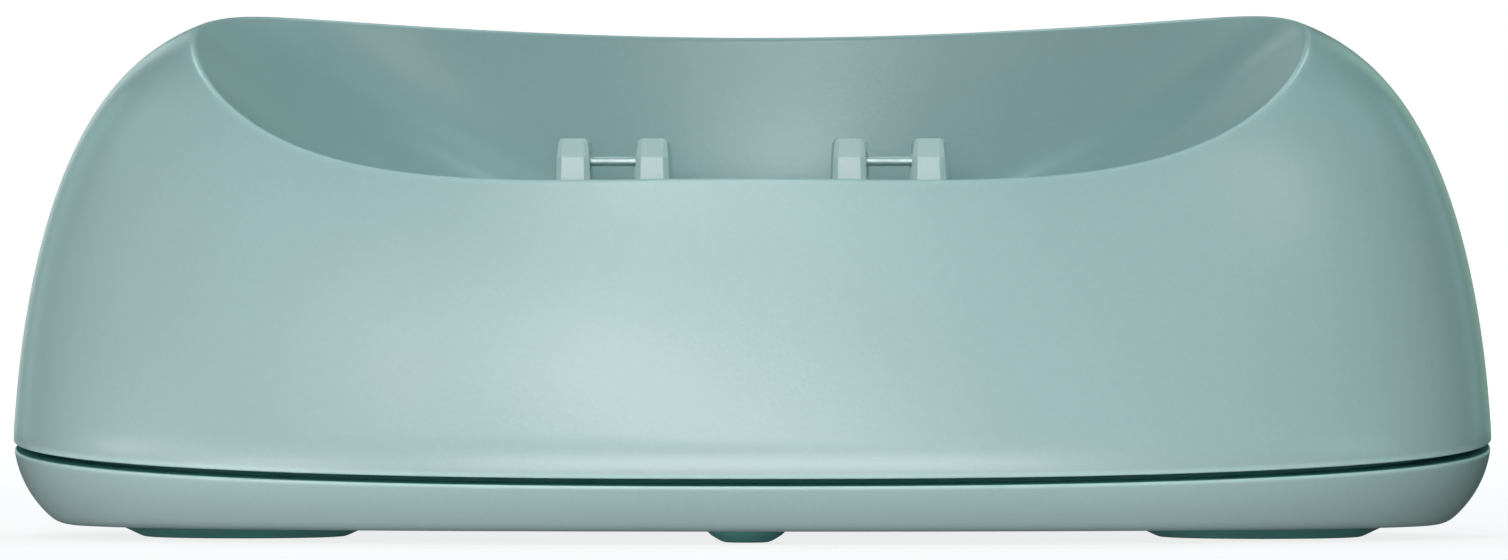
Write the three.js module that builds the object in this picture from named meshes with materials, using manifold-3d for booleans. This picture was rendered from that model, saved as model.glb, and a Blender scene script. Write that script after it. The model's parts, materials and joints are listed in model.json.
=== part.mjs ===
// Charging cradle for a hand-held bathroom appliance: a moulded upper shell with a
// dished basin, a lower tray that closes it from below, and two sprung wire contacts
// that the appliance presses down when it is set in the basin.
//
// Units: millimetres. +X right, +Y to the back, +Z up.
// Origin: centre of the bounding box's bottom face, on the surface the cradle stands on.

import * as THREE from "three";
import { mergeVertices } from "three/addons/utils/BufferGeometryUtils.js";
import { LoftGeometry } from "three/addons/geometries/LoftGeometry.js";
import Module from "manifold-3d";

const wasm = await Module();
wasm.setup();

// ---------------------------------------------------------------- driving dimensions
const PLAN_POWER = 2.3; // superellipse power of the body's plan outline
const BODY_HALF_WIDTH = 55.16; // nominal half width of the dome's profile
const BODY_HALF_DEPTH = 29.0; // nominal half depth
const DOME_FOOT_Z = 2.0; // height where the dome's profile is vertical
const DOME_RISE = 38.2; // from there to its (cut away) crown
const DOME_POWER = 7.644; // how square the dome's shoulder is
const UNDERCUT_Z = 8.0; // below this the side curves in to the underside
const UNDERCUT_RADIUS = 8.68;
const TRAY_UNDERSIDE_Z = 0.92; // flat underside, held off the table by the feet
const WALL = 2.0; // moulded wall of the upper shell
const TRAY_WALL = 3.6; // tray wall, tongue included
const TONGUE_CLEARANCE = 0.35;
const TONGUE_HEIGHT = 2.0;
const TRAY_FLOOR_TOP_Z = 2.9;

const SEAM_Z = 7.07; // seam height at mid depth
const SEAM_SLOPE = 0.0905; // the seam climbs towards the back
const SEAM_GAP = 0.54; // shadow gap

const BASIN_HALF_WIDTH = 41.13;
const BASIN_CENTRE_Y = -5.35; // the widest place
const BASIN_FRONT = 19.85; // from there to the front lip
const BASIN_BACK = 21.18; // and to the back rim
const BASIN_POWER_FRONT = 2.55; // the outline is squarer in front than behind
const BASIN_POWER_BACK = 2.08;
const BASIN_FLOOR_Z = 21.0;
const RIM_LAND = 0.3; // short upright band under the rim's edge
const BASIN_FALL_ENDS = 2.1; // power of the bowl's curve: gentle at the ends
const BASIN_FALL_BACK = 6.5; // steep at the back
const BASIN_FALL_FRONT = 4.0;

const PAIR_X = 10.25; // centre of each contact, left and right
const CONTACT_Y = -3.0;
const POST_OFFSET = 2.94; // each post's centre from the pair's centre
const POST_TOP_Z = 29.6;
const WIRE_Z = 27.9; // centre line of the wire's bar
const WIRE_DIAMETER = 0.71;
const WIRE_LEG = 2.5; // each leg from the pair's centre
const WIRE_BOTTOM_Z = 13.9;
const CONTACT_TRAVEL = 1.2; // how far the bar goes down
const SLOT_WIDTH = 1.3; // across the wire

const WINDOW = [9.8, 4.2]; // opening in the basin floor round one contact block
const DECK = [9.2, 3.6];
const DECK_TOP_Z = 21.5;
const FLANGE = [11.0, 21.0, 1.6];
const FLANGE_BOTTOM_Z = 15.4;
const BLOCK_SCREW_Y = [-11.3, 5.3];

const BOARD = { x: 25, y0: -14, y1: 22, z: 8.6, t: 1.6 };
const BOARD_TOP_Z = BOARD.z + BOARD.t;
const BOARD_SCREW = [21.5, 3.5];
const PAD_T = 0.3;
const CARRIER = [7.6, 3.4, 1.5];
const CARRIER_Z = 13.6;
const SPRING_RADIUS = 1.5;
const SPRING_WIRE = 0.34;
const SPRING_TURNS = 3.25;

const CASE_SCREW = [31, 15];
const FOOT_X = 37.8;
const FOOT_TOP_R = 9.4;
const FOOT_BOTTOM_R = 7.6;
const NUB_Y = 18;
const NUB_TOP_R = 2.9;
const NUB_BOTTOM_R = 1.53;

const INLET = { w: 8.94, h: 3.2, z: 12.15, y0: 20.5, y1: 27.9, wall: 0.3 };

const AROUND = 48; // points round the body and the basin
const LEVELS = [
  1.35, 2.1, 3.2, 4.8, 7, 12, 18, 23, 27, 30.5, 33.5, 35.6, 37.2, 38.5, 39.2,
];
const INNER_LEVELS = [4, 8, 20, 29, 34.5, 37.5];
const BASIN_SHARES = [0.06, 0.26, 0.45, 0.6, 0.74, 0.86, 0.94, 1];

// ---------------------------------------------------------------- materials
const plastic = (color, roughness) =>
  new THREE.MeshStandardMaterial({ color, roughness, metalness: 0 });
const metal = (color, roughness) =>
  new THREE.MeshStandardMaterial({ color, roughness, metalness: 1 });
const SHELL = plastic(0x8fb0ae, 0.42);
const TRAY = plastic(0x86a9a7, 0.45);
const BLOCK = plastic(0x93b3b1, 0.4);
const FOOT = plastic(0x4f7370, 0.85);
const STEEL = metal(0xc9cdcf, 0.28);
const SCREW = metal(0x9fa3a6, 0.4);
const BRASS = metal(0xc8a257, 0.35);
const BALLAST = metal(0x6e7174, 0.6);
const LAMINATE = plastic(0x1f5a3a, 0.5);
const BLACK = plastic(0x1b1c1e, 0.5);
const CAN = metal(0x4a4f5c, 0.4);

// ---------------------------------------------------------------- helpers
const V = (x, y, z) => new THREE.Vector3(x, y, z);
const signedPower = (v, p) => Math.sign(v) * Math.abs(v) ** p;

// A three.js geometry as a solid that can be joined and cut.
function solid(geometry) {
  const bare = new THREE.BufferGeometry();
  bare.setAttribute("position", geometry.getAttribute("position"));
  bare.setIndex(geometry.index);
  const g = mergeVertices(bare, 1e-4);
  const index = g.index.array;
  const triangles = [];
  for (let i = 0; i < index.length; i += 3) {
    const [a, b, c] = [index[i], index[i + 1], index[i + 2]];
    if (a !== b && b !== c && c !== a) triangles.push(a, b, c);
  }
  return new wasm.Manifold(
    new wasm.Mesh({
      numProp: 3,
      vertProperties: new Float32Array(g.attributes.position.array),
      triVerts: new Uint32Array(triangles),
    }),
  );
}

// A solid back as a three.js geometry.
function geometryOf(made) {
  const m = made.getMesh();
  const g = new THREE.BufferGeometry();
  g.setAttribute(
    "position",
    new THREE.BufferAttribute(new Float32Array(m.vertProperties), 3),
  );
  g.setIndex(new THREE.BufferAttribute(new Uint32Array(m.triVerts), 1));
  g.computeVertexNormals();
  return g;
}

const object = new THREE.Group();
function piece(name, geometry, material, parent = object) {
  const mesh = new THREE.Mesh(geometry, material);
  mesh.name = name;
  parent.add(mesh);
  return mesh;
}

// A box between two corners.
const boxBetween = (x0, y0, z0, x1, y1, z1) =>
  new THREE.BoxGeometry(x1 - x0, y1 - y0, z1 - z0).translate(
    (x0 + x1) / 2,
    (y0 + y1) / 2,
    (z0 + z1) / 2,
  );

// An upright cylinder between two heights.
const upright = (x, y, r, z0, z1, sides = 16) =>
  new THREE.CylinderGeometry(r, r, z1 - z0, sides)
    .rotateX(Math.PI / 2)
    .translate(x, y, (z0 + z1) / 2);

// A turned piece, its profile given as [radius, z] from the bottom axis point to the top one.
const turned = (profile, x, y, sides) =>
  new THREE.LatheGeometry(
    profile.map(([r, z]) => new THREE.Vector2(r, z)),
    sides,
  )
    .rotateX(Math.PI / 2)
    .translate(x, y, 0);

// ---------------------------------------------------------------- the body's outer form
function halfWidth(z) {
  const t = Math.min(Math.max((z - DOME_FOOT_Z) / DOME_RISE, 0), 1);
  const dome = BODY_HALF_WIDTH * (1 - t * t) ** (1 / DOME_POWER);
  const under = Math.max(UNDERCUT_Z - z, 0);
  return dome - UNDERCUT_RADIUS + Math.sqrt(UNDERCUT_RADIUS ** 2 - under ** 2);
}
const halfDepth = (z) => halfWidth(z) - BODY_HALF_WIDTH + BODY_HALF_DEPTH;

function planRing(a, front, back, centreY, zOf, powers = [PLAN_POWER, PLAN_POWER]) {
  return Array.from({ length: AROUND }, (_, i) => {
    const angle = (i / AROUND) * 2 * Math.PI;
    const power = powers[Math.sin(angle) < 0 ? 0 : 1];
    const c = signedPower(Math.cos(angle), 2 / power);
    const s = signedPower(Math.sin(angle), 2 / power);
    const x = a * c;
    const y = centreY + (s < 0 ? front : back) * s;
    return V(x, y, zOf(angle, x, y));
  });
}

// The body inset by d, between two heights.
function bodyLoft(d, z0, z1) {
  const levels = d ? INNER_LEVELS : LEVELS;
  const heights = [
    z0,
    ...levels.filter((z) => z > z0 + 0.2 && z < z1 - 0.2),
    z1,
  ];
  return new LoftGeometry(
    heights.map((z) =>
      planRing(halfWidth(z) - d, halfDepth(z) - d, halfDepth(z) - d, 0, () => z),
    ),
    { capStart: true, capEnd: true },
  );
}

// Height of the dome over a plan point.
function domeHeight(x, y) {
  let lo = 10;
  let hi = 39.9;
  for (let i = 0; i < 50; i++) {
    const z = (lo + hi) / 2;
    const inside =
      Math.abs(x / halfWidth(z)) ** PLAN_POWER +
        Math.abs(y / halfDepth(z)) ** PLAN_POWER <
      1;
    if (inside) lo = z;
    else hi = z;
  }
  return (lo + hi) / 2;
}

// The space the basin takes out of the dome, grown by d for the underside of its floor.
function basinLoft(d, drop) {
  const powers = [BASIN_POWER_FRONT, BASIN_POWER_BACK];
  const rim = planRing(
    BASIN_HALF_WIDTH,
    BASIN_FRONT,
    BASIN_BACK,
    BASIN_CENTRE_Y,
    (_, x, y) => domeHeight(x, y) - RIM_LAND,
    powers,
  ).map((p) => p.z);
  const shares = d ? [0.1, 0.4, 0.68, 0.86, 1] : BASIN_SHARES;
  const rings = shares.map((share) => {
    const ring = planRing(
      (BASIN_HALF_WIDTH + d) * share,
      (BASIN_FRONT + d) * share,
      (BASIN_BACK + d) * share,
      BASIN_CENTRE_Y,
      () => 0,
      powers,
    );
    ring.forEach((p, i) => {
      const angle = (i / AROUND) * 2 * Math.PI;
      const ends = Math.cos(angle) ** 2;
      const steep = Math.sin(angle) < 0 ? BASIN_FALL_FRONT : BASIN_FALL_BACK;
      const climb =
        ends * share ** BASIN_FALL_ENDS + (1 - ends) * share ** steep;
      p.z = BASIN_FLOOR_Z - drop + (rim[i] - BASIN_FLOOR_Z) * climb;
    });
    return ring;
  });
  rings.push(rings[rings.length - 1].map((p) => V(p.x, p.y, 46)));
  return new LoftGeometry(rings, { capStart: true, capEnd: true });
}

// Everything above (or below) the seam plane, shifted up by dz.
function halfSpace(side, dz) {
  return new THREE.BoxGeometry(160, 110, 60)
    .translate(0, 0, 30 * side)
    .rotateX(Math.atan(SEAM_SLOPE))
    .translate(0, 0, SEAM_Z + dz);
}

const corners = [
  [-CASE_SCREW[0], -CASE_SCREW[1]],
  [CASE_SCREW[0], -CASE_SCREW[1]],
  [-CASE_SCREW[0], CASE_SCREW[1]],
  [CASE_SCREW[0], CASE_SCREW[1]],
];
const sides = [
  ["left", -1],
  ["right", 1],
];

// A rounded rectangle in X and Z, run along Y.
function ovalBar(w, h, r, y0, y1, z) {
  const s = new THREE.Shape();
  const [a, b] = [w / 2, h / 2];
  s.moveTo(-a + r, -b);
  s.lineTo(a - r, -b);
  s.absarc(a - r, -b + r, r, -Math.PI / 2, 0, false);
  s.lineTo(a, b - r);
  s.absarc(a - r, b - r, r, 0, Math.PI / 2, false);
  s.lineTo(-a + r, b);
  s.absarc(-a + r, b - r, r, Math.PI / 2, Math.PI, false);
  s.lineTo(-a, -b + r);
  s.absarc(-a + r, -b + r, r, Math.PI, 1.5 * Math.PI, false);
  return new THREE.ExtrudeGeometry(s, {
    depth: y1 - y0,
    bevelEnabled: false,
    curveSegments: 4,
  })
    .rotateX(Math.PI / 2)
    .translate(0, y1, z);
}

// ---------------------------------------------------------------- upper shell
{
  const basin = solid(basinLoft(0, 0));
  const underBasin = solid(basinLoft(WALL, WALL + 0.1));
  const hollow = solid(bodyLoft(WALL, 1, 39.4)).subtract(underBasin);
  let shell = solid(bodyLoft(0, TRAY_UNDERSIDE_Z, 39.7))
    .intersect(solid(halfSpace(1, SEAM_GAP / 2)))
    .subtract(hollow);

  // Screw towers reach from the roof down to the tray.
  const under = solid(basinLoft(WALL / 2, WALL / 2)); // keeps the towers out of the basin
  const roof = solid(bodyLoft(WALL / 2, 1, 39.5));
  let towers = null;
  const grow = (s) => (towers = towers ? towers.add(s) : s);
  corners.forEach(([x, y]) => grow(solid(upright(x, y, 3.2, 5.7, 38, 14))));
  sides.forEach(([, s]) =>
    BLOCK_SCREW_Y.forEach((y) =>
      grow(solid(upright(s * PAIR_X, y, 2.3, 17.3, 24, 12))),
    ),
  );
  shell = shell.add(towers.subtract(under).intersect(roof)).subtract(basin);
  corners.forEach(([x, y]) => {
    shell = shell.subtract(solid(upright(x, y, 1.4, 5, 15.5, 10)));
  });
  sides.forEach(([, s]) => {
    BLOCK_SCREW_Y.forEach((y) => {
      shell = shell.subtract(solid(upright(s * PAIR_X, y, 1.1, 16, 20, 8)));
    });
    const [w, d] = WINDOW;
    shell = shell.subtract(
      solid(
        boxBetween(
          s * PAIR_X - w / 2,
          CONTACT_Y - d / 2,
          17.9,
          s * PAIR_X + w / 2,
          CONTACT_Y + d / 2,
          26,
        ),
      ),
    );
  });
  shell = shell.subtract(
    solid(ovalBar(INLET.w + 0.7, INLET.h + 0.7, 1.85, 24, 30, INLET.z)),
  );
  piece("upper_shell", geometryOf(shell), SHELL);
}

// ---------------------------------------------------------------- lower tray
{
  let tray = solid(bodyLoft(0, TRAY_UNDERSIDE_Z, 20)).intersect(
    solid(halfSpace(-1, -SEAM_GAP / 2)),
  );
  const tongue = solid(
    bodyLoft(WALL + TONGUE_CLEARANCE, 2.2, 20),
  ).intersect(solid(halfSpace(-1, -SEAM_GAP / 2 + TONGUE_HEIGHT)));
  tray = tray
    .add(tongue)
    .subtract(solid(bodyLoft(TRAY_WALL, TRAY_FLOOR_TOP_Z, 22)));
  // The tongue stands back from the inlet socket.
  tray = tray.subtract(solid(boxBetween(-5.3, 22, 9.4, 5.3, 29.5, 20)));
  // Screw seats, board posts and ribs that hold the ballast plate.
  corners.forEach(([x, y]) => {
    tray = tray
      .add(solid(upright(x, y, 3.6, 2, 5.4, 14)))
      .subtract(solid(upright(x, y, 2.6, 0, 3.2, 14)))
      .subtract(solid(upright(x, y, 1.45, 3, 6, 10)));
  });
  sides.forEach(([, s]) => {
    tray = tray
      .add(solid(upright(s * BOARD_SCREW[0], BOARD_SCREW[1], 2.4, 2, BOARD.z - 0.1, 12)))
      .subtract(
        solid(upright(s * BOARD_SCREW[0], BOARD_SCREW[1], 1.1, 3.6, 12, 8)),
      );
    const x = s * 23;
    tray = tray
      .add(solid(boxBetween(x - 0.7, -12, 2, x + 0.7, -8.5, BOARD.z - 0.1)))
      .add(solid(boxBetween(x - 0.7, 15.5, 2, x + 0.7, 19, BOARD.z - 0.1)))
      .subtract(solid(upright(s * FOOT_X, 0, FOOT_TOP_R + 0.4, 0, 1.5, 32)))
      .subtract(solid(upright(0, s * NUB_Y, NUB_TOP_R + 0.35, 0, 1.5, 16)));
  });
  piece("lower_tray", geometryOf(tray), TRAY);
}

// ---------------------------------------------------------------- feet
sides.forEach(([side, s]) => {
  piece(
    "foot_pad_" + side,
    turned(
      [
        [0, 0],
        [FOOT_BOTTOM_R, 0],
        [FOOT_BOTTOM_R + 0.5, 0.12],
        [FOOT_TOP_R, 0.8],
        [FOOT_TOP_R, 1.3],
        [0, 1.3],
      ],
      s * FOOT_X,
      0,
      32,
    ),
    FOOT,
  );
});
[
  ["foot_nub_front", -NUB_Y],
  ["foot_nub_rear", NUB_Y],
].forEach(([name, y]) => {
  piece(
    name,
    turned(
      [
        [0, 0],
        [NUB_BOTTOM_R, 0],
        [NUB_BOTTOM_R + 0.6, 0.16],
        [NUB_TOP_R, 0.8],
        [NUB_TOP_R, 1.3],
        [0, 1.3],
      ],
      0,
      y,
      16,
    ),
    FOOT,
  );
});

// ---------------------------------------------------------------- contact blocks
// One octagonal section of a post: half sizes, chamfer and how far its front leans back.
function postSection(cx, z, hw, front, back, ch) {
  const [f, b] = [CONTACT_Y - front, CONTACT_Y + back];
  return [
    V(cx - hw + ch, f, z),
    V(cx + hw - ch, f, z),
    V(cx + hw, f + ch, z),
    V(cx + hw, b - ch, z),
    V(cx + hw - ch, b, z),
    V(cx - hw + ch, b, z),
    V(cx - hw, b - ch, z),
    V(cx - hw, f + ch, z),
  ];
}
sides.forEach(([side, s]) => {
  const c = s * PAIR_X;
  let block = solid(
    boxBetween(
      c - DECK[0] / 2,
      CONTACT_Y - DECK[1] / 2,
      FLANGE_BOTTOM_Z + 0.8,
      c + DECK[0] / 2,
      CONTACT_Y + DECK[1] / 2,
      DECK_TOP_Z,
    ),
  ).add(
    solid(
      boxBetween(
        c - FLANGE[0] / 2,
        CONTACT_Y - FLANGE[1] / 2,
        FLANGE_BOTTOM_Z,
        c + FLANGE[0] / 2,
        CONTACT_Y + FLANGE[1] / 2,
        FLANGE_BOTTOM_Z + FLANGE[2],
      ),
    ),
  );
  [-1, 1].forEach((p) => {
    const x = c + p * POST_OFFSET;
    block = block.add(
      solid(
        new LoftGeometry(
          [
            postSection(x, 20.6, 1.57, 1.65, 1.65, 0.5),
            postSection(x, 26.3, 1.49, 1.6, 1.6, 0.46),
            postSection(x, 28.15, 1.38, 1.5, 1.5, 0.43),
            postSection(x, 29.28, 1.27, 1.05, 1.28, 0.4),
            postSection(x, POST_TOP_Z, 1.03, 0.8, 1.03, 0.34),
          ],
          { capStart: true, capEnd: true },
        ),
      ),
    );
  });
  // The slot that the wire slides in, from under the flange to just above the bar.
  const reach = WIRE_LEG + WIRE_DIAMETER / 2 + 0.3;
  block = block.subtract(
    solid(
      boxBetween(
        c - reach,
        CONTACT_Y - SLOT_WIDTH / 2,
        FLANGE_BOTTOM_Z - 1,
        c + reach,
        CONTACT_Y + SLOT_WIDTH / 2,
        WIRE_Z + WIRE_DIAMETER / 2 + 0.3,
      ),
    ),
  );
  BLOCK_SCREW_Y.forEach((y) => {
    block = block.subtract(solid(upright(c, y, 1.15, 14, 18, 10)));
  });
  piece("contact_block_" + side, geometryOf(block), BLOCK);
});

// ---------------------------------------------------------------- moving contacts
const roundSection = (d, n) => {
  const s = new THREE.Shape();
  for (let i = 0; i < n; i++) {
    const a = ((i + 0.5) / n) * 2 * Math.PI;
    s[i ? "lineTo" : "moveTo"]((d / 2) * Math.cos(a), (d / 2) * Math.sin(a));
  }
  s.closePath();
  return s;
};

sides.forEach(([side, s]) => {
  const c = s * PAIR_X;
  const bend = 0.7;
  const path = new THREE.CatmullRomCurve3(
    [
      V(-WIRE_LEG, 0, WIRE_BOTTOM_Z),
      V(-WIRE_LEG, 0, (WIRE_BOTTOM_Z + WIRE_Z) / 2),
      V(-WIRE_LEG, 0, WIRE_Z - bend),
      V(-WIRE_LEG + bend * 0.293, 0, WIRE_Z - bend * 0.293),
      V(-WIRE_LEG + bend, 0, WIRE_Z),
      V(0, 0, WIRE_Z),
      V(WIRE_LEG - bend, 0, WIRE_Z),
      V(WIRE_LEG - bend * 0.293, 0, WIRE_Z - bend * 0.293),
      V(WIRE_LEG, 0, WIRE_Z - bend),
      V(WIRE_LEG, 0, (WIRE_BOTTOM_Z + WIRE_Z) / 2),
      V(WIRE_LEG, 0, WIRE_BOTTOM_Z),
    ],
    false,
    "centripetal",
  );
  piece(
    "contact_wire_" + side,
    new THREE.ExtrudeGeometry(roundSection(WIRE_DIAMETER, 8), {
      steps: 30,
      extrudePath: path,
    }).translate(c, CONTACT_Y, 0),
    STEEL,
  );

  let carrier = solid(
    boxBetween(
      c - CARRIER[0] / 2,
      CONTACT_Y - CARRIER[1] / 2,
      CARRIER_Z,
      c + CARRIER[0] / 2,
      CONTACT_Y + CARRIER[1] / 2,
      CARRIER_Z + CARRIER[2],
    ),
  );
  [-1, 1].forEach((p) => {
    carrier = carrier.subtract(
      solid(
        upright(c + p * WIRE_LEG, CONTACT_Y, WIRE_DIAMETER / 2 + 0.25, 12, 16, 10),
      ),
    );
  });
  piece("contact_carrier_" + side, geometryOf(carrier), BRASS);

  // Coil spring between the board's pad and the carrier.
  const z0 = BOARD_TOP_Z + 0.1 + PAD_T + 0.1 + SPRING_WIRE / 2;
  const z1 = CARRIER_Z - 0.1 - SPRING_WIRE / 2;
  class Coil extends THREE.Curve {
    getPoint(t, target = new THREE.Vector3()) {
      const a = t * SPRING_TURNS * 2 * Math.PI;
      return target.set(
        c + SPRING_RADIUS * Math.cos(a),
        CONTACT_Y + SPRING_RADIUS * Math.sin(a),
        z0 + (z1 - z0) * t,
      );
    }
  }
  piece(
    "contact_spring_" + side,
    new THREE.ExtrudeGeometry(roundSection(SPRING_WIRE, 5), {
      steps: 36,
      extrudePath: new Coil(),
    }),
    STEEL,
  );

  piece(
    "contact_pad_" + side,
    boxBetween(
      c - 2.4,
      CONTACT_Y - 2.4,
      BOARD_TOP_Z + 0.1,
      c + 2.4,
      CONTACT_Y + 2.4,
      BOARD_TOP_Z + 0.1 + PAD_T,
    ),
    BRASS,
  );
});

// ---------------------------------------------------------------- circuit board and what it carries
{
  const outline = new THREE.Shape();
  const { x, y0, y1 } = BOARD;
  outline.moveTo(-x + 2, y0);
  outline.lineTo(x - 2, y0);
  outline.lineTo(x, y0 + 2);
  outline.lineTo(x, y1 - 6);
  outline.lineTo(x - 8, y1);
  outline.lineTo(-x + 8, y1);
  outline.lineTo(-x, y1 - 6);
  outline.lineTo(-x, y0 + 2);
  outline.closePath();
  for (const s of [-1, 1]) {
    const hole = new THREE.Path();
    hole.absarc(s * BOARD_SCREW[0], BOARD_SCREW[1], 1.3, 0, 2 * Math.PI, true);
    outline.holes.push(hole);
  }
  piece(
    "circuit_board",
    new THREE.ExtrudeGeometry(outline, {
      depth: BOARD.t,
      bevelEnabled: false,
      curveSegments: 5,
    }).translate(0, 0, BOARD.z),
    LAMINATE,
  );
}
const onBoard = BOARD_TOP_Z + 0.1;
piece(
  "capacitor",
  turned(
    [
      [0, onBoard],
      [3.0, onBoard],
      [3.15, onBoard + 0.3],
      [3.15, onBoard + 7.2],
      [2.9, onBoard + 7.5],
      [0, onBoard + 7.5],
    ],
    -19.5,
    13.5,
    18,
  ),
  CAN,
);
piece(
  "inductor",
  turned(
    [
      [0, onBoard],
      [3.6, onBoard],
      [3.6, onBoard + 0.7],
      [2.9, onBoard + 1.0],
      [2.9, onBoard + 3.0],
      [3.6, onBoard + 3.3],
      [3.6, onBoard + 4.0],
      [0, onBoard + 4.0],
    ],
    19.0,
    13.5,
    16,
  ),
  BLACK,
);
piece(
  "regulator_chip",
  boxBetween(7.5, 10.5, onBoard, 12.5, 14.5, onBoard + 1.4),
  BLACK,
);
piece(
  "charge_controller_chip",
  boxBetween(-12.5, 10.5, onBoard, -7.5, 15.5, onBoard + 0.9),
  BLACK,
);

// Low-voltage power inlet at the rear edge of the board.
{
  const { w, h, z, y0, y1, wall } = INLET;
  piece(
    "inlet_shell",
    geometryOf(
      solid(ovalBar(w, h, 1.5, y0, y1, z)).subtract(
        solid(ovalBar(w - 2 * wall, h - 2 * wall, 1.2, y0 - 1, y1 + 1, z)),
      ),
    ),
    STEEL,
  );
  piece(
    "inlet_insulator",
    geometryOf(
      solid(ovalBar(w - 2 * wall - 0.5, h - 2 * wall - 0.5, 0.9, y0 + 0.1, y0 + 2.4, z)).add(
        solid(boxBetween(-3.3, y0 + 2, z - 0.35, 3.3, y1 - 0.9, z + 0.35)),
      ),
    ),
    BLACK,
  );
}

// Steel plate that keeps the empty cradle from sliding about.
piece(
  "ballast_plate",
  boxBetween(-18, -10, TRAY_FLOOR_TOP_Z + 0.1, 18, 16, TRAY_FLOOR_TOP_Z + 2.6),
  BALLAST,
);

// ---------------------------------------------------------------- fasteners
// A pan-head screw that points up: head radius, head height, shank radius, total length.
function screw(name, x, y, z, headR, headH, shankR, length) {
  piece(
    name,
    turned(
      [
        [0, z],
        [headR * 0.75, z],
        [headR, z + headH * 0.45],
        [headR, z + headH],
        [shankR, z + headH],
        [shankR, z + length - shankR * 1.4],
        [shankR * 0.25, z + length],
        [0, z + length],
      ],
      x,
      y,
      12,
    ),
    SCREW,
  );
}
corners.forEach(([x, y], i) =>
  screw("case_screw_" + (i + 1), x, y, 1.5, 2.25, 1.5, 1.1, 12.5),
);
let n = 1;
sides.forEach(([, s]) =>
  BLOCK_SCREW_Y.forEach((y) =>
    screw("block_screw_" + n++, s * PAIR_X, y, 14.1, 1.6, 1.1, 0.8, 5.4),
  ),
);
// Board screws point down into the tray's posts.
sides.forEach(([side, s]) => {
  const top = BOARD_TOP_Z + 1.25;
  piece(
    "board_screw_" + side,
    turned(
      [
        [0, top - 5.6],
        [0.2, top - 5.6],
        [0.8, top - 4.6],
        [0.8, top - 1.1],
        [1.9, top - 1.1],
        [1.9, top - 0.5],
        [1.4, top],
        [0, top],
      ],
      s * BOARD_SCREW[0],
      BOARD_SCREW[1],
      12,
    ),
    SCREW,
  );
});

export default object;
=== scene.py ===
import json
import math

import bmesh
import bpy
import numpy as np
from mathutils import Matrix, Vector
from mathutils.kdtree import KDTree


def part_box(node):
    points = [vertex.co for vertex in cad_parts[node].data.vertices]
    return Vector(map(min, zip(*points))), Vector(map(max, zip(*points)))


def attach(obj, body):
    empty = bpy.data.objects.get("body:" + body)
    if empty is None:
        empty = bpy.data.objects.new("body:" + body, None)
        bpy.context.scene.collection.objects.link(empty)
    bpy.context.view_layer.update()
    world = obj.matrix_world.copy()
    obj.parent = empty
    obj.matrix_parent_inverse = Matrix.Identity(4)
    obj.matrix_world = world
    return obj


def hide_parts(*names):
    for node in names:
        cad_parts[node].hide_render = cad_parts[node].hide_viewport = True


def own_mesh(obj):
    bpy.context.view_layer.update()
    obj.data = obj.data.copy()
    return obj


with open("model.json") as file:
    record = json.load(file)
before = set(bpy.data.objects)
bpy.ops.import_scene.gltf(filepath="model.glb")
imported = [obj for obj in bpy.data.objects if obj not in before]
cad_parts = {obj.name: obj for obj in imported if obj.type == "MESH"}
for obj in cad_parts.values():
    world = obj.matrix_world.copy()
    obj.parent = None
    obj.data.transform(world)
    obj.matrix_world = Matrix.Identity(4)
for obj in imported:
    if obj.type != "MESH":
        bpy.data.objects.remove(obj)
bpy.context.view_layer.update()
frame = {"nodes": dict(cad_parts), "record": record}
MM = 0.001

# ------------------------------------------------------------------ dimensions (mm), the same as the CAD's
POWER = 2.3
A0, B0 = 55.116, 28.97
DOME_FOOT, DOME_RISE, DOME_POWER = 2.0, 38.2, 7.644
UNDER_Z, UNDER_R = 8.0, 8.68
UNDERSIDE = 0.92
WALL, TRAY_WALL, TONGUE_IN, TONGUE_UP = 2.0, 3.6, 2.35, 2.0
FLOOR_TOP = 2.9
SEAM_Z, SEAM_SLOPE, SEAM_GAP = 7.07, 0.0905, 0.54
BAS_A, BAS_Y, BAS_F, BAS_B = 41.13, -5.35, 19.85, 21.18
BAS_POWER_F, BAS_POWER_B = 2.55, 2.08
BAS_Z, FALL_END, FALL_BACK, FALL_FRONT = 21.0, 2.1, 6.5, 4.0
PAIR_X, CON_Y, POST_DX = 10.25, -3.0, 2.94
WIRE_Z, WIRE_D, WIRE_LEG, WIRE_LOW = 27.9, 0.71, 2.5, 13.9
COLS = 384


# ------------------------------------------------------------------ surface functions
def spow(v, p):
    return np.sign(v) * np.abs(v) ** p


def half_width(z):
    z = np.asarray(z, float)
    t = np.clip((z - DOME_FOOT) / DOME_RISE, 0, 0.99999)
    u = np.maximum(UNDER_Z - z, 0)
    return A0 * (1 - t * t) ** (1 / DOME_POWER) - UNDER_R + np.sqrt(UNDER_R**2 - u * u)


def half_depth(z):
    return half_width(z) - A0 + B0


def body(theta, z, d=0.0):
    a, b = half_width(z) - d, half_depth(z) - d
    x = a * spow(np.cos(theta), 2 / POWER)
    y = b * spow(np.sin(theta), 2 / POWER)
    return np.stack([x, y, np.broadcast_to(z, np.shape(x))], -1)


def theta_of(x, y, z, d=0.0):
    a, b = half_width(z) - d, half_depth(z) - d
    return np.arctan2(spow(y / b, POWER / 2), spow(x / a, POWER / 2))


def dome_height(x, y, d=0.0):
    lo, hi = np.full(np.shape(x), 10.0), np.full(np.shape(x), 40.1)
    for _ in range(50):
        z = (lo + hi) / 2
        inside = (
            np.abs(x / (half_width(z) - d)) ** POWER
            + np.abs(y / np.maximum(half_depth(z) - d, 0.05)) ** POWER
            < 1
        )
        lo, hi = np.where(inside, z, lo), np.where(inside, hi, z)
    return (lo + hi) / 2


def outline(phi, d=0.0, share=1.0):
    n = np.where(np.sin(phi) < 0, BAS_POWER_F, BAS_POWER_B)
    c, s = spow(np.cos(phi), 2 / n), spow(np.sin(phi), 2 / n)
    x = (BAS_A + d) * share * c
    y = BAS_Y + np.where(s < 0, BAS_F + d, BAS_B + d) * share * s
    return x, y


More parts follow.
